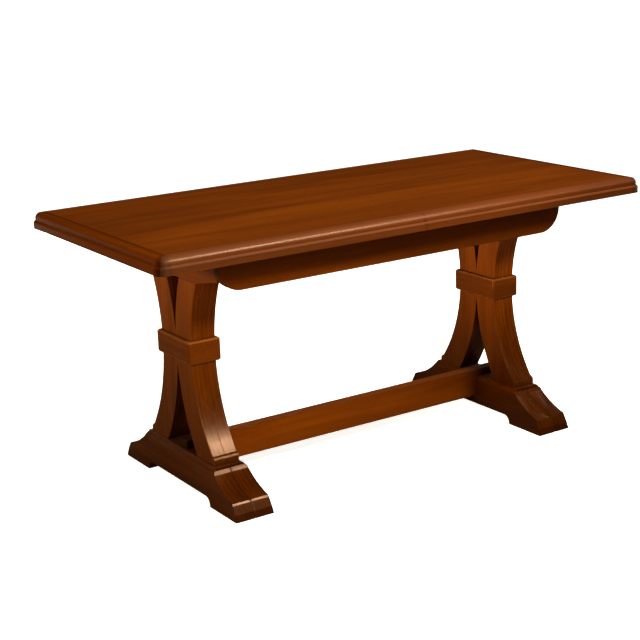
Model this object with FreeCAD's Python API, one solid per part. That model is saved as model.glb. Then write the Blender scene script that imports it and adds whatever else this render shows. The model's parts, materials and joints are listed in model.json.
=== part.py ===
import FreeCAD, Part
import math
import os

# Extending trestle table in stained wood, in millimetres.
# X runs along the table, Y from front to back and Z up. The origin is on the floor under
# the middle of the table. Two half tops slide apart over a fixed apron box, and the loose
# leaf that fills the gap between them is kept inside that box.
# Every piece is drawn once, for the right end or the back, and mirrored to its other places.

# Whole table
table_length = 1650.0
table_width = 800.0
table_height = 780.0

# Top and its moulded edge
top_thickness = 46.0
edging_width = 40.0
corner_radius = 26.0
band_height = 23.0       # plain lower band of the edge
quirk_depth = 6.0        # width of the ledge above the band
quirk_height = 6.0       # short upright between the ledge and the round
band_bevel = 5.0         # on the upper edge of the band

# Clearances
seam_gap = 0.3           # between the closed half tops
slide_gap = 0.3          # round everything that slides
joint_gap = 0.1          # round tenons, pegs and pins in their holes

# Loose leaf, and the pins that line up the meeting edges
leaf_width = 450.0
pin_diameter = 10.0
pin_hold = 25.0
pin_reach = 18.0
pin_spacing = 250.0      # from the middle of an edge to each of its two pins

# Runners under the half tops, and the rails that guide them
runner_height = 38.0
runner_width = 32.0
runner_start = 6.0       # from the middle of the table to the runner's inner end
runner_setback = 4.0     # its outer end stops this far inside the legs' outer faces
groove_wall = 12.0       # wood left at the closed end of a runner's groove
rail_width = 24.0
tongue_depth = 8.0
tongue_height = 12.0

# Apron box
apron_thickness = 28.0
apron_corner = 72.0
apron_overhang = 13.0    # past the outer face of the bearers
leaf_room = 30.0         # between the stored leaf's sides and the aprons
leaf_clearance = 106.0   # between the stored leaf's ends and the bearers
leaf_play = 4.0          # between the stored leaf and the runners above it
rest_thickness = 16.0
rest_width = 60.0
rest_inset = 150.0       # from each end of the stored leaf to the middle of its rest
block_size = 45.0
block_height = 40.0

# Trestles
bearer_height = 106.0
bearer_rise = 26.0       # how far the bearer's lower edge rises to its ends
leg_layer = 39.0         # each leg is two layers glued face to face
leg_width = 85.0
leg_bend = 470.0         # radius of the hollow outer edge
leg_toe = 25.0           # from the foot up to the end of the hollow edge
lip_run = 6.5            # flatter lip below the hollow edge, its run outwards
lip_drop = 3.5           # and its fall
lip_bevel = 6.0          # length of the steep bevel that ends the lip
waist_height = 420.0
waist_land = 90.0        # flat where the two legs of a trestle are glued back to back
leg_groove = 0.8         # bevel on each layer that leaves a groove along the glue line
arris = 2.0              # bevel on the outside edges
collar_height = 66.0
collar_thickness = 12.0
collar_bevel = 4.0       # on its upper and lower rims
collar_round = 8.0       # radius of its upright corners

# Feet
foot_layer = 53.0        # thickness of each of its two layers at the top
foot_flare = 7.0         # how much thicker each layer is at the floor
foot_height = 116.0
foot_margin = 16.5       # flat in front of the leg's base
foot_reach = 127.5       # from the step to the foot's end
foot_step = 7.5
foot_bevel = 12.0        # on the long upper edges
foot_groove = 2.5        # bevel on each layer that leaves a groove along the glue line
bevel_slope = 53.0       # degrees below level of the bevels at lip, brow and toe
brow_bevel = 12.0        # length of the bevel between the step and the hollow slope
slope_hollow = 6.0       # depth of the slope's hollow
toe_height = 48.0
toe_rake = 23.0          # from the end of the slope to the foot's end
toe_bevel = 6.0          # length of the bevel between the slope and the toe
toe_slope = 62.0         # degrees below level down the face of the toe
nose_height = 20.0       # where the toe's face turns out to the foot's end
pad_length = 146.0
arch_height = 25.0

# Stretcher
stretcher_thickness = 36.0
stretcher_height = 88.0
stretcher_lift = 52.0
tongue_setback = 4.0     # its ends stop this far inside the legs' outer faces

# Loose tenons and pegs
tenon_thickness = 14.0
tenon_width = 44.0
tenon_length = 60.0
peg_diameter = 12.0
peg_sink = 40.0

# Places worked out from the sizes above
top_bottom = table_height - top_thickness
frame_top = top_bottom - slide_gap
ovolo = top_thickness - band_height - quirk_height
travel = leaf_width / 2
trestle_x = table_width / 2 + leaf_clearance + leg_layer
trestle_face = trestle_x + leg_layer
box_half = leaf_width / 2 + leaf_room
rail_face = box_half - rail_width
runner_face = rail_face - slide_gap
runner_bottom = top_bottom - runner_height
notch_floor = runner_bottom - slide_gap
leaf_bottom = runner_bottom - leaf_play - top_thickness
apron_bottom = leaf_bottom - rest_thickness
groove_start = runner_start + groove_wall
tongue_start = groove_start + travel + slide_gap
leg_top = frame_top - bearer_height
bulge_bend = leg_bend + leg_width
land_depth = bulge_bend - math.sqrt(bulge_bend ** 2 - (waist_land / 2) ** 2)
leg_toe_top = foot_height + leg_toe
stretcher_top = stretcher_lift + stretcher_height

V = FreeCAD.Vector
origin = V(0, 0, 0)
along_x = V(1, 0, 0)
along_y = V(0, 1, 0)
along_z = V(0, 0, 1)
bevel_angle = math.radians(bevel_slope)
bevel_fall = V(0, math.cos(bevel_angle), -math.sin(bevel_angle))


# Drawing helpers

def line(start, end):
    return Part.LineSegment(start, end).toShape()


def arc(start, middle, end):
    return Part.Arc(start, middle, end).toShape()


def chain(points):
    return [line(a, b) for a, b in zip(points, points[1:])]


def solid(edges, depth):
    wire = Part.Wire(Part.__sortEdges__(edges))
    return Part.Face(wire).extrude(depth)


def polygon(points, depth):
    return solid(chain(points + points[:1]), depth)


def box(x0, x1, y0, y1, z0, z1):
    return Part.makeBox(x1 - x0, y1 - y0, z1 - z0, V(x0, y0, z0))


def rod(diameter, start, direction, length):
    return Part.makeCylinder(diameter / 2, length, start, direction)


def mirrored(shape, side=1, end=1):
    if side < 0:
        shape = shape.mirror(origin, along_x)
    if end < 0:
        shape = shape.mirror(origin, along_y)
    return shape


def both_ends(edges):
    return edges + [edge.mirror(origin, along_y) for edge in edges]


def edges_where(shape, test):
    return [edge for edge in shape.Edges if test(edge)]


def near(a, b):
    return abs(a - b) < 1e-4


def level(edge, height):
    return near(edge.BoundBox.ZMin, height) and near(edge.BoundBox.ZMax, height)


# Top: a moulded slab, cut into a panel and mitred edgings

def moulded(plan, bottom, rounded):
    """Slab with the table's edge moulding; plan(inset) is its outline, drawn at Z 0."""
    ledge = bottom + band_height
    top = bottom + top_thickness
    band = plan(0).extrude(along_z * band_height)
    band.translate(along_z * bottom)
    band = band.makeChamfer(band_bevel, edges_where(band, lambda e: level(e, ledge) and rounded(e)))
    nose = plan(quirk_depth).extrude(along_z * (top - ledge))
    nose.translate(along_z * ledge)
    nose = nose.makeFillet(ovolo, edges_where(nose, lambda e: level(e, top) and rounded(e)))
    return band.fuse(nose).removeSplitter()


def half_plan(inset):
    """Right half of the top in plan, rounded at its outer corners."""
    start = seam_gap / 2
    end = table_length / 2 - inset
    side = table_width / 2 - inset
    radius = corner_radius - inset
    bulge = radius * (1 - math.sqrt(0.5))
    corner = [
        line(V(start, side, 0), V(end - radius, side, 0)),
        arc(V(end - radius, side, 0), V(end - bulge, side - bulge, 0), V(end, side - radius, 0)),
    ]
    ends = [line(V(start, -side, 0), V(start, side, 0)),
            line(V(end, side - radius, 0), V(end, radius - side, 0))]
    return Part.Face(Part.Wire(Part.__sortEdges__(both_ends(corner) + ends)))


def half_slab():
    def rounded(edge):
        return edge.BoundBox.XMax > seam_gap
    return moulded(half_plan, top_bottom, rounded)


def cut_out(slab, points):
    """Part of a slab over a plan polygon."""
    bounds = slab.BoundBox
    raised = [V(x, y, bounds.ZMin) for x, y in points]
    return slab.common(polygon(raised, along_z * bounds.ZLength))


def pin_places():
    middle = top_bottom + top_thickness / 2
    return [V(0, y, middle) for y in (-pin_spacing, pin_spacing)]


def drill(shape, diameter, starts, direction, depth):
    for start in starts:
        shape = shape.cut(rod(diameter + 2 * joint_gap, start, direction, depth))
    return shape


def half_pieces(slab):
    """Panel, end edging and back edging of the right half, before any holes."""
    end = table_length / 2
    side = table_width / 2
    panel_end = end - edging_width
    panel_side = side - edging_width
    panel = cut_out(slab, [(0, -panel_side), (panel_end, -panel_side),
                           (panel_end, panel_side), (0, panel_side)])
    end_edging = cut_out(slab, [(end, -side), (end, side),
                                (panel_end, panel_side), (panel_end, -panel_side)])
    back_edging = cut_out(slab, [(0, side), (end, side),
                                 (panel_end, panel_side), (0, panel_side)])
    return panel, end_edging, back_edging


def runner():
    """Right back runner, with a groove in its outer face that is closed at the inner end."""
    runner_end = trestle_face - runner_setback
    bar = box(runner_start, runner_end, runner_face - runner_width, runner_face,
              runner_bottom, top_bottom)
    middle = (runner_bottom + top_bottom) / 2
    half = tongue_height / 2 + slide_gap
    return bar.cut(box(groove_start, runner_end, runner_face - tongue_depth, runner_face,
                       middle - half, middle + half))


def guide_rail():
    """Right back rail: a bar on the apron with a tongue that fills the runner's groove."""
    bar = box(tongue_start, trestle_face, rail_face, box_half, notch_floor, frame_top)
    middle = (runner_bottom + top_bottom) / 2
    half = tongue_height / 2
    tongue = box(tongue_start, trestle_face, rail_face - tongue_depth, rail_face,
                 middle - half, middle + half)
    return bar.fuse(tongue).removeSplitter()


# Loose leaf, stored a quarter turn from its place in the top

leaf_side = (leaf_width - seam_gap) / 2


def leaf_plan(inset):
    end = table_width / 2 - inset
    corners = [V(-end, -leaf_side, 0), V(end, -leaf_side, 0),
               V(end, leaf_side, 0), V(-end, leaf_side, 0)]
    return Part.Face(Part.makePolygon(corners + corners[:1]))


def leaf_slab():
    def rounded(edge):
        return near(edge.BoundBox.XLength, 0)
    return moulded(leaf_plan, leaf_bottom, rounded)


def leaf_pin_places(side):
    middle = leaf_bottom + top_thickness / 2
    return [V(x, side * leaf_side, middle) for x in (-pin_spacing, pin_spacing)]


def leaf_pieces():
    """Panel with pin holes and sockets, and the edging that comes to the table's back."""
    slab = leaf_slab()
    end = table_width / 2
    panel_end = end - edging_width
    panel = cut_out(slab, [(-panel_end, -leaf_side), (panel_end, -leaf_side),
                           (panel_end, leaf_side), (-panel_end, leaf_side)])
    panel = drill(panel, pin_diameter, leaf_pin_places(1), -along_y, pin_hold)
    panel = drill(panel, pin_diameter + 2 * slide_gap, leaf_pin_places(-1), along_y,
                  pin_reach + slide_gap)
    edging = cut_out(slab, [(panel_end, -leaf_side), (end, -leaf_side),
                            (end, leaf_side), (panel_end, leaf_side)])
    return panel, edging


def leaf_pins():
    length = pin_hold + pin_reach
    return [rod(pin_diameter, place - along_y * pin_hold, along_y, length)
            for place in leaf_pin_places(1)]


# Apron box

def apron():
    """Back apron, with its lower end corners rounded."""
    end = trestle_face + apron_overhang
    inset = apron_corner * (1 - math.sqrt(0.5))
    right = [
        line(V(0, 0, apron_bottom), V(end - apron_corner, 0, apron_bottom)),
        arc(V(end - apron_corner, 0, apron_bottom), V(end - inset, 0, apron_bottom + inset),
            V(end, 0, apron_bottom + apron_corner)),
        line(V(end, 0, apron_bottom + apron_corner), V(end, 0, frame_top)),
        line(V(end, 0, frame_top), V(0, 0, frame_top)),
    ]
    left = [edge.mirror(origin, along_x) for edge in right]
    board = solid(right + left, along_y * apron_thickness)
    board.translate(along_y * box_half)
    return board.removeSplitter()


def leaf_rest():
    """Right slat across the box, flush with the aprons' lower edges."""
    middle = table_width / 2 - rest_inset
    return box(middle - rest_width / 2, middle + rest_width / 2, -box_half, box_half,
               apron_bottom, leaf_bottom)


def corner_block():
    """Right back glue block between the bearer and the apron."""
    corner = trestle_x - leg_layer
    bottom = notch_floor - block_height
    return polygon([V(corner, box_half, bottom), V(corner - block_size, box_half, bottom),
                    V(corner, box_half - block_size, bottom)], along_z * block_height)


# Trestle

def hollow_y(z):
    """Outer edge of the back leg at a height."""
    return leg_width + leg_bend - math.sqrt(leg_bend ** 2 - (z - waist_height) ** 2)


def bulge_y(z):
    """Inner edge of the back leg at a height, away from the flat at the waist."""
    reach = math.sqrt(bulge_bend ** 2 - (z - waist_height) ** 2)
    return bulge_bend - land_depth - reach


def layer_middle(layer):
    """X of the middle of one of the two glued leg layers of the right trestle."""
    return trestle_x + (leg_layer / 2 if layer == "outer" else -leg_layer / 2)


def as_layer(outer, layer):
    """An outer layer as drawn, or turned over into the inner one."""
    return outer if layer == "outer" else outer.mirror(V(trestle_x, 0, 0), along_x)


def tenon(layer, y, z, gap=0.0):
    """Loose tenon centred on a joint of the right trestle, or its mortise with a gap."""
    x = layer_middle(layer)
    thick = tenon_thickness / 2 + gap
    wide = tenon_width / 2 + gap
    tall = tenon_length / 2 + gap
    return box(x - thick, x + thick, y - wide, y + wide, z - tall, z + tall)


leg_base = hollow_y(leg_toe_top) + lip_run + bevel_fall.y * lip_bevel
foot_tenon_y = (leg_base + bulge_y(foot_height)) / 2
bearer_tenon_y = (hollow_y(leg_top) + bulge_y(leg_top)) / 2


def leg_outline(x):
    def at(y, z):
        return V(x, y, z)

    def bulge_arc(start, end):
        middle = (start + end) / 2
        return arc(at(bulge_y(start), start), at(bulge_y(middle), middle), at(bulge_y(end), end))

    land_low = waist_height - waist_land / 2
    land_high = waist_height + waist_land / 2
    hollow_end = at(hollow_y(leg_toe_top), leg_toe_top)
    lip = hollow_end + V(0, lip_run, -lip_drop)
    base = chain([at(bulge_y(foot_height), foot_height), at(leg_base, foot_height),
                  lip + bevel_fall * lip_bevel, lip, hollow_end])
    return base + [
        arc(hollow_end, at(leg_width, waist_height), at(hollow_y(leg_top), leg_top)),
        line(at(hollow_y(leg_top), leg_top), at(bulge_y(leg_top), leg_top)),
        bulge_arc(leg_top, land_high),
        line(at(0, land_high), at(0, land_low)),
        bulge_arc(land_low, foot_height),
    ]


def plain_leg():
    """Outer layer of the right back leg before it is bevelled."""
    return solid(leg_outline(trestle_x), along_x * leg_layer)


def leg():
    """Outer layer of the right back leg, bevelled along its hollow edge and mortised."""
    def hollow_at(x):
        return lambda e: (isinstance(e.Curve, Part.Circle) and near(e.Curve.Radius, leg_bend)
                          and near(e.BoundBox.XMin, x))

    board = plain_leg()
    board = board.makeChamfer(leg_groove, edges_where(board, hollow_at(trestle_x)))
    board = board.makeChamfer(arris, edges_where(board, hollow_at(trestle_face)))
    board = board.cut(tenon("outer", foot_tenon_y, foot_height, joint_gap))
    return board.cut(tenon("outer", bearer_tenon_y, leg_top, joint_gap))


def collar_block():
    """Outside of the right collar, with rounded corners and bevelled rims."""
    reach_x = leg_layer + collar_thickness
    reach_y = leg_width + collar_thickness
    bottom = waist_height - collar_height / 2
    block = box(trestle_x - reach_x, trestle_x + reach_x, -reach_y, reach_y,
                bottom, bottom + collar_height)
    block = block.makeFillet(collar_round, edges_where(block, lambda e: e.BoundBox.ZLength > 1))
    return block.makeChamfer(collar_bevel, edges_where(block, lambda e: e.BoundBox.ZLength < 1))


def collar_strip(middle, outward, beside):
    """Mitred part of the collar outside one face; beside leads from its middle to a corner."""
    step = beside * (collar_thickness / beside.Length)
    left = middle - beside
    right = middle + beside
    wedge = polygon([left, left + (outward - step) * 2, right + (outward + step) * 2, right],
                    along_z * collar_height)
    return collar_block().common(wedge)


def collar_outer_strip():
    """Outer strip of the right collar."""
    middle = V(trestle_face, 0, waist_height - collar_height / 2)
    return collar_strip(middle, along_x * collar_thickness, along_y * leg_width)


def collar_back_strip():
    """Back strip of the right collar, scribed to the hollow of the legs."""
    middle = V(trestle_x, leg_width, waist_height - collar_height / 2)
    strip = collar_strip(middle, along_y * collar_thickness, along_x * leg_layer)
    for layer in ("inner", "outer"):
        strip = strip.cut(as_layer(plain_leg(), layer))
    return strip


def bearer():
    """Right bearer on the leg tops, tapered below and notched for rails and runners."""
    start = trestle_x - leg_layer
    notch_side = runner_face - runner_width - slide_gap
    half = [V(start, 0, leg_top), V(start, hollow_y(leg_top), leg_top),
            V(start, box_half, leg_top + bearer_rise), V(start, box_half, notch_floor),
            V(start, notch_side, notch_floor), V(start, notch_side, frame_top),
            V(start, 0, frame_top)]
    block = solid(both_ends(chain(half)), along_x * (2 * leg_layer)).removeSplitter()
    for layer in ("inner", "outer"):
        for end in (-1, 1):
            block = block.cut(tenon(layer, end * bearer_tenon_y, leg_top, joint_gap))
    return block


foot_shoulder = leg_base + foot_margin
foot_half = foot_shoulder + foot_reach


def foot_outline(x):
    """Both halves of the foot's outline, from the top's middle round to the arch."""
    def at(y, z):
        return V(x, y, z)

    brow = at(foot_shoulder, foot_height - foot_step)
    slope_top = brow + bevel_fall * brow_bevel
    slope_end = at(foot_half - toe_rake, toe_height)
    fall = slope_end - slope_top
    inward = V(0, fall.z, -fall.y).normalize()
    slope_middle = (slope_top + slope_end) / 2 + inward * slope_hollow
    toe = slope_end + bevel_fall * toe_bevel
    nose_run = (toe.z - nose_height) / math.tan(math.radians(toe_slope))
    pad = foot_half - pad_length
    bulge = arch_height * math.sqrt(0.5)
    half = chain([at(0, foot_height), at(foot_shoulder, foot_height), brow, slope_top])
    half.append(arc(slope_top, slope_middle, slope_end))
    half += chain([slope_end, toe, at(toe.y + nose_run, nose_height), at(foot_half, 0), at(pad, 0)])
    half.append(arc(at(pad, 0), at(pad - arch_height + bulge, bulge),
                    at(pad - arch_height, arch_height)))
    half.append(line(at(pad - arch_height, arch_height), at(0, arch_height)))
    return both_ends(half)


def plain_foot():
    """Outer layer of the right foot, flaring towards the floor, its upper edge bevelled."""
    top = trestle_x + foot_layer
    bottom = top + foot_flare
    bevel_side = top + foot_flare * foot_bevel / foot_height
    board = solid(foot_outline(trestle_x), along_x * (bottom - trestle_x)).removeSplitter()
    waste = polygon([V(top - foot_bevel, -foot_half, foot_height),
                     V(bevel_side, -foot_half, foot_height - foot_bevel),
                     V(bottom, -foot_half, 0), V(bottom, -foot_half, foot_height)],
                    along_y * (2 * foot_half))
    return board.cut(waste)


def foot():
    """Outer layer of the right foot, grooved, mortised and drilled."""
    def groove_edge(edge):
        middle = edge.CenterOfMass
        front = abs(middle.y) > foot_shoulder + 1e-4
        return near(edge.BoundBox.XMax, trestle_x) and front and not near(middle.z, 0)

    board = plain_foot()
    board = board.makeChamfer(foot_groove, edges_where(board, groove_edge))
    for end in (-1, 1):
        board = board.cut(tenon("outer", end * foot_tenon_y, foot_height, joint_gap))
    return drill(board, peg_diameter, [V(layer_middle("outer"), 0, foot_height)], -along_z, peg_sink)


def stretcher():
    """Board on edge between the feet, whose ends lap over them between the legs."""
    half = stretcher_thickness / 2
    shoulder = trestle_x - foot_layer + foot_bevel
    end = trestle_face - tongue_setback
    board = box(-shoulder, shoulder, -half, half, stretcher_lift, stretcher_top)
    board = board.fuse(box(-end, end, -half, half, foot_height, stretcher_top)).removeSplitter()
    for side in (-1, 1):
        board = board.cut(mirrored(as_layer(plain_foot(), "inner"), side))
    places = [V(side * layer_middle(layer), 0, foot_height)
              for side in (-1, 1) for layer in ("inner", "outer")]
    return drill(board, peg_diameter, places, along_z, stretcher_top - foot_height)


# Loose tenons and pegs, as groups

def tenons(y, z):
    return [mirrored(tenon(layer, y, z), side, end)
            for side in (-1, 1) for end in (-1, 1) for layer in ("inner", "outer")]


def pegs():
    length = stretcher_top - foot_height + peg_sink
    return [rod(peg_diameter, V(side * layer_middle(layer), 0, foot_height - peg_sink), along_z, length)
            for side in (-1, 1) for layer in ("inner", "outer")]


# All pieces by name

def trestle_pieces(name, side):
    pieces = {f"{name}_bearer": mirrored(bearer(), side)}
    for layer in ("inner", "outer"):
        pieces[f"{name}_foot_{layer}"] = mirrored(as_layer(foot(), layer), side)
        pieces[f"{name}_front_leg_{layer}"] = mirrored(as_layer(leg(), layer), side, -1)
        pieces[f"{name}_back_leg_{layer}"] = mirrored(as_layer(leg(), layer), side)
    outer = collar_outer_strip()
    inner = as_layer(outer, "inner")
    back = collar_back_strip()
    pieces[f"{name}_collar_outer"] = mirrored(outer, side)
    pieces[f"{name}_collar_inner"] = mirrored(inner, side)
    pieces[f"{name}_collar_front"] = mirrored(back, side, -1)
    pieces[f"{name}_collar_back"] = mirrored(back, side)
    return pieces


def half_top_pieces(name, side):
    panel, end_edging, back_edging = half_pieces(half_slab())
    hold = pin_hold
    hole = pin_diameter
    if side < 0:
        hold = pin_reach + slide_gap
        hole = pin_diameter + 2 * slide_gap
    places = [place + along_x * (seam_gap / 2) for place in pin_places()]
    panel = drill(panel, hole, places, along_x, hold)
    return {
        f"{name}_top_panel": mirrored(panel, side),
        f"{name}_top_end_edging": mirrored(end_edging, side),
        f"{name}_top_back_edging": mirrored(back_edging, side),
        f"{name}_top_front_edging": mirrored(back_edging, side, -1),
        f"{name}_back_runner": mirrored(runner(), side),
        f"{name}_front_runner": mirrored(runner(), side, -1),
    }


def box_corner_pieces(name, side):
    return {
        f"{name}_back_guide_rail": mirrored(guide_rail(), side),
        f"{name}_front_guide_rail": mirrored(guide_rail(), side, -1),
        f"{name}_back_corner_block": mirrored(corner_block(), side),
        f"{name}_front_corner_block": mirrored(corner_block(), side, -1),
        f"{name}_leaf_rest": mirrored(leaf_rest(), side),
    }


def single_pieces():
    leaf_panel, leaf_edging = leaf_pieces()
    pin_start = seam_gap / 2 + pin_hold
    pin_length = pin_hold + seam_gap + pin_reach - slide_gap
    return {
        "stretcher": stretcher(),
        "back_apron": apron(),
        "front_apron": mirrored(apron(), 1, -1),
        "leaf_panel": leaf_panel,
        "leaf_back_edging": leaf_edging,
        "leaf_front_edging": mirrored(leaf_edging, -1),
        "leaf_pins": leaf_pins(),
        "top_pins": [rod(pin_diameter, place + along_x * pin_start, -along_x, pin_length)
                     for place in pin_places()],
        "foot_tenons": tenons(foot_tenon_y, foot_height),
        "bearer_tenons": tenons(bearer_tenon_y, leg_top),
        "stretcher_pegs": pegs(),
    }


def main():
    pieces = single_pieces()
    for name, side in (("left", -1), ("right", 1)):
        pieces.update(half_top_pieces(name, side))
        pieces.update(box_corner_pieces(name, side))
        pieces.update(trestle_pieces(name, side))
    os.makedirs("parts", exist_ok=True)
    for name, piece in pieces.items():
        group = piece if isinstance(piece, list) else [piece]
        solids = [body for shape in group for body in shape.Solids]
        shape = solids[0] if len(solids) == 1 else Part.makeCompound(solids)
        shape.exportStep(f"parts/{name}.step")
        print(name, len(solids), "solids", round(shape.Volume), "mm3")


main()
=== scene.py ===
import bpy
import json
import math
from mathutils import Matrix, Vector


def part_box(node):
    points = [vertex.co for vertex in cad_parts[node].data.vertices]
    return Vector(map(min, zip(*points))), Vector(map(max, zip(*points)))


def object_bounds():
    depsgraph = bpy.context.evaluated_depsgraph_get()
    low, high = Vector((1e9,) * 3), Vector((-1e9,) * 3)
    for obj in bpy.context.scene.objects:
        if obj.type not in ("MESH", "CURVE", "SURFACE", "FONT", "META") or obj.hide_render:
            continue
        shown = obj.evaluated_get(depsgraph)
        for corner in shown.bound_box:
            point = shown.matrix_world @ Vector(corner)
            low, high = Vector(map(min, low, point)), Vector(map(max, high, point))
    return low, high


# Extending trestle table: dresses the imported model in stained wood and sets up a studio.
# Lengths are in metres. X runs along the table, Y from front to back and Z up, as in the CAD.

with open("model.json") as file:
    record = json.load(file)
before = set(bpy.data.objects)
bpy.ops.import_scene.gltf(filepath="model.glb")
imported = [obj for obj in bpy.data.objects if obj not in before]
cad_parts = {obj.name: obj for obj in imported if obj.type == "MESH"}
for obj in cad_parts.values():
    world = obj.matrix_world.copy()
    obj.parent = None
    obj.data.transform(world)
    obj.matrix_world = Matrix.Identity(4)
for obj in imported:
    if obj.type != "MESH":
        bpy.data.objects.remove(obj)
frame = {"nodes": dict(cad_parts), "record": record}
cad_low, cad_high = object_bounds()
scene = bpy.context.scene

# Camera, solved from the photo: angles in radians, lens and sensor in millimetres
CAMERA_PLACE = Vector((-2.376, -3.4951, 1.5771))
CAMERA_YAW = 0.5775
CAMERA_PITCH = -0.2729
CAMERA_ROLL = -0.033
CAMERA_LENS = 81.32
CAMERA_SENSOR = 36.0

# Edges that the CAD leaves sharp are rounded by a width where they turn by more than an angle
EASED_EDGE = 0.0012
EASED_ANGLE = math.radians(35)
FOOT_EDGE = 0.0035
FOOT_ANGLE = math.radians(50)
EASED_SEGMENTS = 3
WELD_DISTANCE = 1e-5
FLAT_ANGLE = math.radians(0.3)

# Colours of the stained walnut and the oiled beech, linear; the black paints shade in recesses, the deep
# one also paints shade, and the rubbed one paints highlights on the collars' rims
PAINTED_SHADE_BLACK = (0.007, 0.0011, 0.0001, 1)
DEEP_STAIN_AND_SHADE = (0.020, 0.0032, 0.0002, 1)
STAIN_DARK = (0.052, 0.0094, 0.0003, 1)
STAIN_MIDDLE = (0.088, 0.0166, 0.0004, 1)
STAIN_LIGHT = (0.135, 0.0275, 0.0006, 1)
PAINTED_RIM_HIGHLIGHT = (0.24, 0.075, 0.016, 1)
BEECH_DARK = (0.20, 0.095, 0.036, 1)
BEECH_MIDDLE = (0.33, 0.175, 0.075, 1)
BEECH_LIGHT = (0.43, 0.25, 0.12, 1)

# The woods, from their darkest to their lightest tone
STAINED = ((0.18, DEEP_STAIN_AND_SHADE), (0.38, STAIN_DARK), (0.55, STAIN_MIDDLE), (0.80, STAIN_LIGHT))
BEECH = ((0.25, BEECH_DARK), (0.50, BEECH_MIDDLE), (0.75, BEECH_LIGHT))

# Finishes: roughness, shine, and the tint of what they reflect
TOP_TINT = (1.0, 0.61, 0.33, 1)
FRAME_TINT = (1.0, 0.56, 0.28, 1)
TOP_LACQUER = (0.38, 0.30, TOP_TINT)
PANEL_LACQUER = (0.34, 0.05, TOP_TINT)
END_LACQUER = (0.34, 0.01, TOP_TINT)
FRAME_LACQUER = (0.21, 0.14, FRAME_TINT)
BEECH_OIL = (0.55, 0.30, FRAME_TINT)
WOOD_IOR = 1.5

# Layers of the grain: stretch along and across a board, detail, roughness and distortion
FIGURE_LAYER = ((0.9, 9.0, 9.0), 5.0, 0.6, 0.5)
STREAK_LAYER = ((3.0, 130.0, 130.0), 3.0, 0.6, 0.0)
PORE_LAYER = ((60.0, 1500.0, 1500.0), 1.0, 0.5, 0.0)
PORE_LIMITS = (0.60, 0.70)
RING_STRETCH = (0.07, 1.0, 1.0)
RINGS = {"Scale": 22.0, "Distortion": 9.0, "Detail": 3.0, "Detail Scale": 0.35, "Detail Roughness": 0.55}

# Shares of the layers in the tone, and of the dark pores in the colour
FIGURE_SHARE = 0.76
RING_SHARE = 0.10
STREAK_SHARE = 0.16
PORE_SHARE = 0.55

# Faces that lie squarely across the grain take more stain, strong enough to paint the shade on the
# bearers' ends too
END_GRAIN_LIMITS = (0.85, 0.99)
END_GRAIN_AND_SHADE_SHARE = 0.85

# What streaks and pores do to the roughness and the relief of a board
STREAK_LIMITS = (0.3, 0.7)
STREAK_SMOOTHER = 0.04
STREAK_ROUGHER = 0.05
PORE_ROUGHER = 0.06
STREAK_RELIEF = 0.35
RELIEF_STRENGTH = 0.10
RELIEF_DEPTH = 0.0004

# Order of the axes that puts the grain first, and the shift from one board to the next
GRAIN_ORDER = {"X": ("X", "Y", "Z"), "Y": ("Y", "X", "Z"), "Z": ("Z", "X", "Y")}
BOARD_SHIFT = (1.37, 0.83, 0.59)

# Dark stain along joints, also painting shade in creases, and painted shade in recesses: reach, the shares
# of open sky it lies between, and strength
SKY_SAMPLES = 8
JOINT_REACH = 0.02
JOINT_SKY = (0.35, 0.85)
JOINT_SHARE = 0.6
RECESS_REACH = 0.16
RECESS_SKY = 0.15
OPEN_SKY = 0.6
TRESTLE_OPEN_SKY = 0.75
RECESS_SHADE_SHARE = 0.95

# Painted shade on the trestles by height and low on the right one, painted shade on the right collar, and
# painted highlights on the collars' rims
TRESTLE_FLOOR_TONE = 0.45
TRESTLE_HIGH_TONE = 1.5
TRESTLE_HEIGHT = 0.62
TRESTLE_EXPONENT = 2.0
LEFT_TO_RIGHT = (-0.3, 0.3)
RIGHT_SHADE = 0.3
RIGHT_SHADE_HEIGHTS = (0.05, 0.30)
RIGHT_COLLAR_TONE = 0.66
RIM_WIDTH = 0.0055
RIM_SHARE = 0.45

# Stain of the table top: a dark border and the seam; painted shade at the corners, in a line near each
# end, along its edges to the right and on its upright faces
BORDER_WIDTH = 0.16
BORDER_SHARE = 0.42
BORDER_WAVER = 0.09
WAVER_SCALE = 7.0
WAVER_DETAIL = 3.0
CORNER_LIMITS = (0.012, 0.036)
CORNER_SHADE_SHARE = 0.97
END_LINE = 0.032
END_LINE_WIDTH = 0.009
END_SHADE_SHARE = 0.6
SEAM_WIDTH = 0.004
SEAM_SHARE = 0.7
SEAM_MARGIN = (0.015, 0.035)
EDGE_RUN = (-0.2, 0.8)
EDGE_LEFT_TONE = 0.9
EDGE_RIGHT_TONE = 0.495
TOP_TONE = 1.16
EDGE_TO_TOP = (0.2, 0.9)

# Painted light and shade on the stretcher and the aprons, which change along them
STRETCHER_RUN = (-0.4, 0.5)
STRETCHER_EXPONENT = 1.5
STRETCHER_LEFT_TONE = 1.42
STRETCHER_RIGHT_TONE = 0.568
STRETCHER_ENDS = (0.42, 0.54)
STRETCHER_END_TONE = 0.2
APRON_RUN = (-0.4, 0.6)
APRON_LEFT_TONE = 0.90
APRON_RIGHT_TONE = 0.52

# Roughness that use adds to level faces and to the corners of the table top
LEVEL_LIMITS = (0.90, 0.99)
LEVEL_WEAR = 0.4
CORNER_WEAR = 0.5

# The pale floor, as it is seen and as it throws light back on the table
FLOOR_REACH = 40.0
FLOOR_DROP = 0.0005
FLOOR_PALE = (0.88, 0.88, 0.875, 1)
FLOOR_PALER = (0.92, 0.92, 0.915, 1)
FLOOR_MOTTLE_SCALE = 3.0
FLOOR_MOTTLE_DETAIL = 3.0
FLOOR_ROUGHNESS = 0.9
FLOOR_GLOW = 0.75
FLOOR_BOUNCE = (0.15, 0.10, 0.06, 1)

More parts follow.
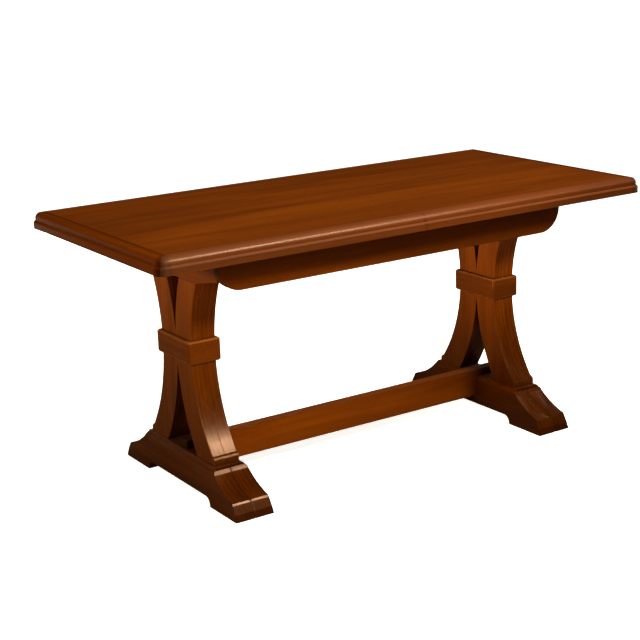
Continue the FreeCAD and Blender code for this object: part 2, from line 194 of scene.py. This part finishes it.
# Lights: the world as it lights the table and as it is seen, and a broad light from above
WHITE = (1, 1, 1, 1)
WORLD_LIGHT = 0.004
WORLD_SEEN = 1.0
OVERHEAD_PLACE = (0.6, -0.9, 4.0)
OVERHEAD_POWER = 1.9
OVERHEAD_ANGLE = math.radians(60)

# Soft boxes: name, place, target, width, height, power in watts, colour and spread in degrees
WARM = (1.0, 0.92, 0.64)
PLAIN = (1.0, 1.0, 1.0)
SOFT_BOXES = (
    ("key", (0.8, -2.4, 2.2), (-0.2, -0.2, 0.5), 1.3, 0.4, 165, PLAIN, 180),
    ("left_fill", (-6.0, -1.2, 2.2), (0, 0, 0.45), 5.0, 1.8, 450, WARM, 180),
    ("front_fill", (-0.6, -3.8, 0.9), (0, 0, 0.5), 1.8, 1.0, 45, WARM, 180),
    ("back_fill", (-0.3, 3.6, 0.42), (0, 0, 0.45), 2.4, 0.6, 100, WARM, 180),
    ("right_fill", (3.6, 0.6, 0.42), (0, 0, 0.45), 1.6, 0.6, 120, WARM, 180),
    ("inner_fill", (-0.3, -0.12, 0.47), (0.55, -0.02, 0.42), 0.3, 0.3, 1.9, WARM, 70),
)


# Node helpers

class Tree:
    """Adds nodes to a node tree and gives their sockets values or links."""

    def __init__(self, tree):
        self.nodes = tree.nodes
        self.links = tree.links

    def add(self, kind, sockets=None, **settings):
        node = self.nodes.new(kind)
        for name, value in settings.items():
            setattr(node, name, value)
        for name, value in (sockets or {}).items():
            self.feed(node.inputs[name], value)
        return node

    def feed(self, socket, value):
        if isinstance(value, bpy.types.NodeSocket):
            self.links.new(value, socket)
        else:
            socket.default_value = value

    def math(self, operation, first, second=0.0):
        return self.add("ShaderNodeMath", {0: first, 1: second}, operation=operation).outputs[0]

    def vector(self, operation, first, second):
        return self.add("ShaderNodeVectorMath", {0: first, 1: second}, operation=operation).outputs[0]

    def axis(self, vector, name):
        return self.add("ShaderNodeSeparateXYZ", {0: vector}).outputs[name]

    def mix(self, share, first, second):
        """Mixes two colours, which are the node's inputs 6 and 7 and its output 2."""
        node = self.add("ShaderNodeMix", data_type="RGBA")
        self.feed(node.inputs[0], share)
        self.feed(node.inputs[6], first)
        self.feed(node.inputs[7], second)
        return node.outputs[2]

    def toned(self, colour, tone):
        """Makes a colour darker or lighter."""
        node = self.add("ShaderNodeVectorMath", {0: colour, "Scale": tone}, operation="SCALE")
        return node.outputs[0]

    def span(self, value, low, high, to_low=0.0, to_high=1.0):
        """Maps a value from one range to another, clamped."""
        return self.add("ShaderNodeMapRange", {
            "Value": value, "From Min": low, "From Max": high,
            "To Min": to_low, "To Max": to_high}).outputs[0]

    def noise(self, place, scale, detail, roughness=0.5, distortion=0.0):
        return self.add("ShaderNodeTexNoise", {
            "Vector": place, "Scale": scale, "Detail": detail,
            "Roughness": roughness, "Distortion": distortion}).outputs[0]

    def ramp(self, value, stops):
        node = self.add("ShaderNodeValToRGB", {"Fac": value})
        elements = node.color_ramp.elements
        while len(elements) < len(stops):
            elements.new(1.0)
        for element, (position, colour) in zip(elements, stops):
            element.position = position
            element.color = colour
        return node.outputs[0]


def new_material(name):
    material = bpy.data.materials.new(name)
    material.use_nodes = True
    material.node_tree.nodes.clear()
    return material, Tree(material.node_tree)


# Wood

def board_place(tree, along, shift):
    """Place on the table, and place in the grain, which has X along it and starts at a shift."""
    coordinates = tree.add("ShaderNodeTexCoord").outputs["Object"]
    split = tree.add("ShaderNodeSeparateXYZ", {0: coordinates})
    turned = tree.add("ShaderNodeCombineXYZ")
    for axis, source in zip("XYZ", GRAIN_ORDER[along]):
        tree.feed(turned.inputs[axis], split.outputs[source])
    return coordinates, tree.vector("ADD", turned.outputs[0], shift)


def grain_layer(tree, place, layer):
    stretch, detail, roughness, distortion = layer
    return tree.noise(tree.vector("MULTIPLY", place, stretch), 1.0, detail, roughness, distortion)


def growth_rings(tree, place):
    stretched = tree.vector("MULTIPLY", place, RING_STRETCH)
    return tree.add("ShaderNodeTexWave", {"Vector": stretched, **RINGS}, bands_direction="Y").outputs[1]


def wood_tone(tree, place, streaks):
    """Tone of straight-grained wood, from its figure, growth rings and streaks."""
    figure = tree.math("MULTIPLY", grain_layer(tree, place, FIGURE_LAYER), FIGURE_SHARE)
    rings = tree.math("MULTIPLY", growth_rings(tree, place), RING_SHARE)
    return tree.math("ADD", tree.math("ADD", figure, rings), tree.math("MULTIPLY", streaks, STREAK_SHARE))


def end_grain(tree, along, colour, deep):
    """Faces across the grain take more stain, which also paints the shade on the bearers' ends."""
    normal = tree.add("ShaderNodeNewGeometry").outputs["Normal"]
    across = tree.math("ABSOLUTE", tree.axis(normal, along))
    return tree.mix(tree.span(across, *END_GRAIN_LIMITS, 0.0, END_GRAIN_AND_SHADE_SHARE), colour, deep)


def wood_gloss(tree, roughness, streaks, pores):
    gloss = tree.span(streaks, *STREAK_LIMITS, roughness - STREAK_SMOOTHER, roughness + STREAK_ROUGHER)
    return tree.math("ADD", gloss, tree.math("MULTIPLY", pores, PORE_ROUGHER))


def wood_relief(tree, streaks, pores):
    height = tree.math("SUBTRACT", tree.math("MULTIPLY", streaks, STREAK_RELIEF), pores)
    relief = {"Height": height, "Strength": RELIEF_STRENGTH, "Distance": RELIEF_DEPTH}
    return tree.add("ShaderNodeBump", relief).outputs[0]


def wood(name, along, shift, stops, pore_colour, finish, stain=None, wear=None):
    """Procedural wood. The stain, with its painted shade and highlights, changes its colour and the wear
    its gloss, by the place on the table.
    """
    roughness, shine, tint = finish
    material, tree = new_material(name)
    coordinates, place = board_place(tree, along, shift)
    streaks = grain_layer(tree, place, STREAK_LAYER)
    pores = tree.span(grain_layer(tree, place, PORE_LAYER), *PORE_LIMITS)
    colour = tree.ramp(wood_tone(tree, place, streaks), stops)
    colour = tree.mix(tree.math("MULTIPLY", pores, PORE_SHARE), colour, pore_colour)
    colour = end_grain(tree, along, colour, pore_colour)
    if stain:
        colour = stain(tree, coordinates, colour)
    gloss = wood_gloss(tree, roughness, streaks, pores)
    if wear:
        gloss = wear(tree, coordinates, gloss)
    surface = tree.add("ShaderNodeBsdfPrincipled", {
        "Base Color": colour, "Roughness": gloss, "Normal": wood_relief(tree, streaks, pores),
        "IOR": WOOD_IOR, "Specular IOR Level": shine, "Specular Tint": tint})
    tree.add("ShaderNodeOutputMaterial", {"Surface": surface.outputs[0]})
    return material


# Stains and painted light: each takes the place on the table and a colour, and gives the new colour

def sky_share(tree, reach):
    """Share of the view from a point that nothing within a reach blocks."""
    return tree.add("ShaderNodeAmbientOcclusion", {"Distance": reach}, samples=SKY_SAMPLES).outputs["AO"]


def joint_stain_and_painted_shade(tree, coordinates, colour, open_sky=OPEN_SKY):
    """Darker stain along joints, which also paints the shade in creases, and painted shade towards black
    in recesses that see less than the open sky.
    """
    joint = tree.span(sky_share(tree, JOINT_REACH), *JOINT_SKY, JOINT_SHARE, 0.0)
    colour = tree.mix(joint, colour, DEEP_STAIN_AND_SHADE)
    # Painted shade: recesses that see little of the sky are darkened towards black
    painted_recess_shade = tree.span(sky_share(tree, RECESS_REACH), RECESS_SKY, open_sky, RECESS_SHADE_SHARE, 0.0)
    return tree.mix(painted_recess_shade, colour, PAINTED_SHADE_BLACK)


def trestle_painted_shade(tree, coordinates, colour):
    """Dark joints and painted shade in recesses, and painted shade that deepens down to the floor, most of
    all on the right trestle.
    """
    height = tree.axis(coordinates, "Z")
    # Painted shade: darker towards the floor, and low on the right trestle
    rise = tree.math("POWER", tree.span(height, 0.0, TRESTLE_HEIGHT), TRESTLE_EXPONENT)
    tone = tree.span(rise, 0.0, 1.0, TRESTLE_FLOOR_TONE, TRESTLE_HIGH_TONE)
    right = tree.span(tree.axis(coordinates, "X"), *LEFT_TO_RIGHT)
    shade = tree.math("MULTIPLY", right, tree.span(height, *RIGHT_SHADE_HEIGHTS, RIGHT_SHADE, 0.0))
    tone = tree.math("MULTIPLY", tone, tree.math("SUBTRACT", 1.0, shade))
    return joint_stain_and_painted_shade(tree, coordinates, tree.toned(colour, tone), TRESTLE_OPEN_SKY)


def collar_painted_light(tree, coordinates, colour):
    """Painted shade of the trestles on their collars, darker on the right one, with a painted highlight
    that makes their rims lighter.
    """
    low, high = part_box("left_collar_front")
    middle = 0.5 * (low.z + high.z)
    half = 0.5 * (high.z - low.z)
    from_middle = tree.math("ABSOLUTE", tree.math("SUBTRACT", tree.axis(coordinates, "Z"), middle))
    # Painted highlight: the collars' rims are lighter
    rim = tree.span(from_middle, half - RIM_WIDTH, half - 0.5 * RIM_WIDTH, 0.0, RIM_SHARE)
    colour = tree.mix(rim, trestle_painted_shade(tree, coordinates, colour), PAINTED_RIM_HIGHLIGHT)
    # Painted shade: the right collar is darker
    tone = tree.span(tree.axis(coordinates, "X"), *LEFT_TO_RIGHT, 1.0, RIGHT_COLLAR_TONE)
    return tree.toned(colour, tone)


def stretcher_painted_shade(tree, coordinates, colour):
    """Dark joints and painted shade in recesses on the stretcher, with painted light that makes it lighter
    and painted shade that deepens at its ends and to the right.
    """
    along = tree.axis(coordinates, "X")
    # Painted light and shade: lighter to the left, darker at the ends and to the right
    right = tree.math("POWER", tree.span(along, *STRETCHER_RUN), STRETCHER_EXPONENT)
    tone = tree.span(right, 0.0, 1.0, STRETCHER_LEFT_TONE, STRETCHER_RIGHT_TONE)
    ends = tree.span(tree.math("ABSOLUTE", along), *STRETCHER_ENDS, 1.0, STRETCHER_END_TONE)
    return joint_stain_and_painted_shade(tree, coordinates, tree.toned(colour, tree.math("MULTIPLY", tone, ends)))


def apron_painted_shade(tree, coordinates, colour):
    """Dark joints and painted shade in recesses on the aprons, and painted shade that deepens to the
    right.
    """
    # Painted shade: darker to the right
    tone = tree.span(tree.axis(coordinates, "X"), *APRON_RUN, APRON_LEFT_TONE, APRON_RIGHT_TONE)
    return joint_stain_and_painted_shade(tree, coordinates, tree.toned(colour, tone))


# Table top

def top_margins(tree, coordinates):
    """Distances from the ends and from the long sides of the table top."""
    along = tree.math("ABSOLUTE", tree.axis(coordinates, "X"))
    across = tree.math("ABSOLUTE", tree.axis(coordinates, "Y"))
    return tree.math("SUBTRACT", cad_high.x, along), tree.math("SUBTRACT", cad_high.y, across)


def facing_up(tree):
    """How far a face looks up: 1 when level, 0 when upright."""
    return tree.axis(tree.add("ShaderNodeNewGeometry").outputs["Normal"], "Z")


def border(tree, coordinates, from_end, from_side):
    """Share of the dark border along the edges, with a wavering inner limit."""
    waver = tree.math("SUBTRACT", tree.noise(coordinates, WAVER_SCALE, WAVER_DETAIL), 0.5)
    inside = tree.math("MINIMUM", from_end, from_side)
    inside = tree.math("ADD", inside, tree.math("MULTIPLY", waver, BORDER_WAVER))
    return tree.span(inside, 0.0, BORDER_WIDTH, BORDER_SHARE, 0.0)


def corner(tree, from_end, from_side, share):
    """A share that is full at the corners and fades along both edges."""
    return tree.span(tree.math("MAXIMUM", from_end, from_side), *CORNER_LIMITS, share, 0.0)


def painted_end_shade(tree, from_end):
    """Share of the painted shade line along each end."""
    beside = tree.math("ABSOLUTE", tree.math("SUBTRACT", from_end, END_LINE))
    return tree.span(beside, 0.0, END_LINE_WIDTH, END_SHADE_SHARE, 0.0)


def seam(tree, along, from_side):
    """Share of the dark stain where the moulded edges of the two halves meet."""
    beside = tree.span(tree.math("ABSOLUTE", along), 0.0, SEAM_WIDTH, SEAM_SHARE, 0.0)
    return tree.math("MULTIPLY", beside, tree.span(from_side, *SEAM_MARGIN, 1.0, 0.0))


def top_stain_and_painted_shade(tree, coordinates, colour):
    """Dark joints and painted shade in recesses, a stain that deepens towards the edges, and painted shade
    at the corners, in a line near each end, along the edges to the right and on upright faces.
    """
    from_end, from_side = top_margins(tree, coordinates)
    along = tree.axis(coordinates, "X")
    colour = tree.mix(border(tree, coordinates, from_end, from_side), colour, STAIN_DARK)
    # Painted shade at the corners
    colour = tree.mix(corner(tree, from_end, from_side, CORNER_SHADE_SHARE), colour, DEEP_STAIN_AND_SHADE)
    # Painted shade in a line near each end
    colour = tree.mix(painted_end_shade(tree, from_end), colour, DEEP_STAIN_AND_SHADE)
    colour = tree.mix(seam(tree, along, from_side), colour, DEEP_STAIN_AND_SHADE)
    # Painted shade: edges darker to the right, upright faces darker than level ones
    edge_tone = tree.span(along, *EDGE_RUN, EDGE_LEFT_TONE, EDGE_RIGHT_TONE)
    tone = tree.span(facing_up(tree), *EDGE_TO_TOP, edge_tone, TOP_TONE)
    return joint_stain_and_painted_shade(tree, coordinates, tree.toned(colour, tone))


# Wear: each kind takes the place on the table and a roughness, and gives the new roughness

def level_wear(tree):
    return tree.span(facing_up(tree), *LEVEL_LIMITS, 0.0, LEVEL_WEAR)


def matt_level(tree, coordinates, gloss):
    """Use wears the gloss off level faces."""
    return tree.math("ADD", gloss, level_wear(tree))


def matt_top(tree, coordinates, gloss):
    """Use wears the gloss off the table top's level faces and corners, not off its moulding."""
    worn = corner(tree, *top_margins(tree, coordinates), CORNER_WEAR)
    return tree.math("ADD", gloss, tree.math("MAXIMUM", worn, level_wear(tree)))


# Which wood each node gets

def grain_axis(node):
    """The grain runs along a board's longest side, but along X in the top's panels and Y in the leaf's."""
    if "top_panel" in node:
        return "X"
    if node == "leaf_panel":
        return "Y"
    low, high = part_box(node)
    size = high - low
    return "XYZ"[max(range(3), key=lambda axis: size[axis])]


def family(node):
    """The left and right piece of a pair share one name, so that their grain runs on."""
    return node.removeprefix("left_").removeprefix("right_")


def on_half_top(node, slot):
    return slot == "top_walnut" and not node.startswith("leaf")


def finish_of(node, slot):
    if "panel" in node:
        return PANEL_LACQUER
    if "end_edging" in node:
        return END_LACQUER
    return TOP_LACQUER if slot == "top_walnut" else FRAME_LACQUER


def stain_and_shade_of(node, slot):
    if node == "stretcher":
        return stretcher_painted_shade
    if "apron" in node:
        return apron_painted_shade
    if "collar" in node:
        return collar_painted_light
    if any(word in node for word in ("leg", "foot", "bearer", "peg")):
        return trestle_painted_shade
    return top_stain_and_painted_shade if on_half_top(node, slot) else joint_stain_and_painted_shade


def wear_of(node, slot):
    if node == "stretcher" or "_foot_" in node or "peg" in node:
        return matt_level
    return matt_top if on_half_top(node, slot) else None


def dress(node, number, slot):
    """The material of a node, whose grain is shifted by the number of its family."""
    shift = tuple(step * number for step in BOARD_SHIFT)
    along = grain_axis(node)
    if slot == "runner_beech":
        return wood(node, along, shift, BEECH, BEECH_DARK, BEECH_OIL)
    finish = finish_of(node, slot)
    return wood(node, along, shift, STAINED, DEEP_STAIN_AND_SHADE, finish, stain_and_shade_of(node, slot), wear_of(node, slot))


def ease_edges(thing, width, angle):
    """Joins the CAD facets into faces, and rounds the edges sharper than an angle."""
    weld = thing.modifiers.new("weld", "WELD")
    weld.merge_threshold = WELD_DISTANCE
    flat = thing.modifiers.new("flat", "DECIMATE")
    flat.decimate_type = "DISSOLVE"
    flat.angle_limit = FLAT_ANGLE

    bevel = thing.modifiers.new("bevel", "BEVEL")
    bevel.width = width
    bevel.segments = EASED_SEGMENTS
    bevel.limit_method = "ANGLE"
    bevel.angle_limit = angle
    bevel.harden_normals = True


def dress_table():
    """Gives every node its wood, and eases all edges but those of legs and of top and leaf boards."""
    slots = {part["node"]: part["material_slot"] for part in frame["record"]["subparts"]}
    families = sorted({family(name) for name in frame["nodes"]})
    for name, thing in sorted(frame["nodes"].items()):
        thing.data.materials.clear()
        thing.data.materials.append(dress(name, families.index(family(name)), slots[name]))
        if "_foot_" in name:
            ease_edges(thing, FOOT_EDGE, FOOT_ANGLE)
        elif "_leg_" not in name and slots[name] != "top_walnut":
            ease_edges(thing, EASED_EDGE, EASED_ANGLE)


# Floor, lights and camera

def floor_material():
    """Pale to the camera, dimmer and warm in the light it throws back, and clear from below."""
    material, tree = new_material("pale_floor")
    place = tree.add("ShaderNodeTexCoord").outputs["Object"]
    mottle = tree.noise(place, FLOOR_MOTTLE_SCALE, FLOOR_MOTTLE_DETAIL)
    seen = tree.add("ShaderNodeLightPath").outputs["Is Camera Ray"]
    colour = tree.mix(seen, FLOOR_BOUNCE, tree.mix(mottle, FLOOR_PALE, FLOOR_PALER))
    surface = tree.add("ShaderNodeBsdfPrincipled", {
        "Base Color": colour, "Roughness": FLOOR_ROUGHNESS, "Specular IOR Level": 0.0,
        "Emission Color": WHITE, "Emission Strength": tree.math("MULTIPLY", seen, FLOOR_GLOW)})
    below = tree.add("ShaderNodeNewGeometry").outputs["Backfacing"]
    clear = tree.add("ShaderNodeBsdfTransparent")
    both = tree.add("ShaderNodeMixShader", {0: below, 1: surface.outputs[0], 2: clear.outputs[0]})
    tree.add("ShaderNodeOutputMaterial", {"Surface": both.outputs[0]})
    return material


def make_floor():
    mesh = bpy.data.meshes.new("floor")
    corners = [(-1, -1), (1, -1), (1, 1), (-1, 1)]
    mesh.from_pydata([(FLOOR_REACH * x, FLOOR_REACH * y, 0) for x, y in corners], [], [(0, 1, 2, 3)])
    mesh.materials.append(floor_material())
    floor = bpy.data.objects.new("floor", mesh)
    scene.collection.objects.link(floor)
    floor.location.z = cad_low.z - FLOOR_DROP


def make_world():
    """A world that looks white but hardly lights the table."""
    world = bpy.data.worlds.new("studio")
    world.use_nodes = True
    world.node_tree.nodes.clear()
    tree = Tree(world.node_tree)
    seen = tree.add("ShaderNodeLightPath").outputs["Is Camera Ray"]
    dim = tree.add("ShaderNodeBackground", {"Color": WHITE, "Strength": WORLD_LIGHT})
    white = tree.add("ShaderNodeBackground", {"Color": WHITE, "Strength": WORLD_SEEN})
    both = tree.add("ShaderNodeMixShader", {0: seen, 1: dim.outputs[0], 2: white.outputs[0]})
    tree.add("ShaderNodeOutputWorld", {"Surface": both.outputs[0]})
    scene.world = world


def place_light(name, data, place, target):
    light = bpy.data.objects.new(name, data)
    scene.collection.objects.link(light)
    light.location = place
    light.rotation_euler = (Vector(target) - light.location).to_track_quat("-Z", "Y").to_euler()
    return light


def overhead_light():
    data = bpy.data.lights.new("overhead", "SUN")
    data.energy = OVERHEAD_POWER
    data.angle = OVERHEAD_ANGLE
    place_light("overhead", data, OVERHEAD_PLACE, (0, 0, 0))


def soft_box(name, place, target, width, height, power, colour, spread):
    data = bpy.data.lights.new(name, "AREA")
    data.shape = "RECTANGLE"
    data.size = width
    data.size_y = height
    data.energy = power
    data.color = colour
    data.spread = math.radians(spread)
    light = place_light(name, data, place, target)
    light.visible_camera = False


def camera_turn():
    """Turn of the camera from its yaw, pitch and roll."""
    level = math.cos(CAMERA_PITCH)
    forward = Vector((math.sin(CAMERA_YAW) * level, math.cos(CAMERA_YAW) * level, math.sin(CAMERA_PITCH)))
    right = Vector((math.cos(CAMERA_YAW), -math.sin(CAMERA_YAW), 0))
    up = right.cross(forward)
    turned_right = right * math.cos(CAMERA_ROLL) + up * math.sin(CAMERA_ROLL)
    turned_up = up * math.cos(CAMERA_ROLL) - right * math.sin(CAMERA_ROLL)
    return Matrix((turned_right, turned_up, -forward)).transposed().to_4x4()


def make_camera():
    data = bpy.data.cameras.new("camera")
    data.lens = CAMERA_LENS
    data.sensor_width = CAMERA_SENSOR
    camera = bpy.data.objects.new("camera", data)
    scene.collection.objects.link(camera)
    camera.matrix_world = Matrix.Translation(CAMERA_PLACE) @ camera_turn()
    scene.camera = camera


def main():
    scene.view_settings.view_transform = "Standard"
    dress_table()
    make_floor()
    make_world()
    overhead_light()
    for box in SOFT_BOXES:
        soft_box(*box)
    make_camera()


main()
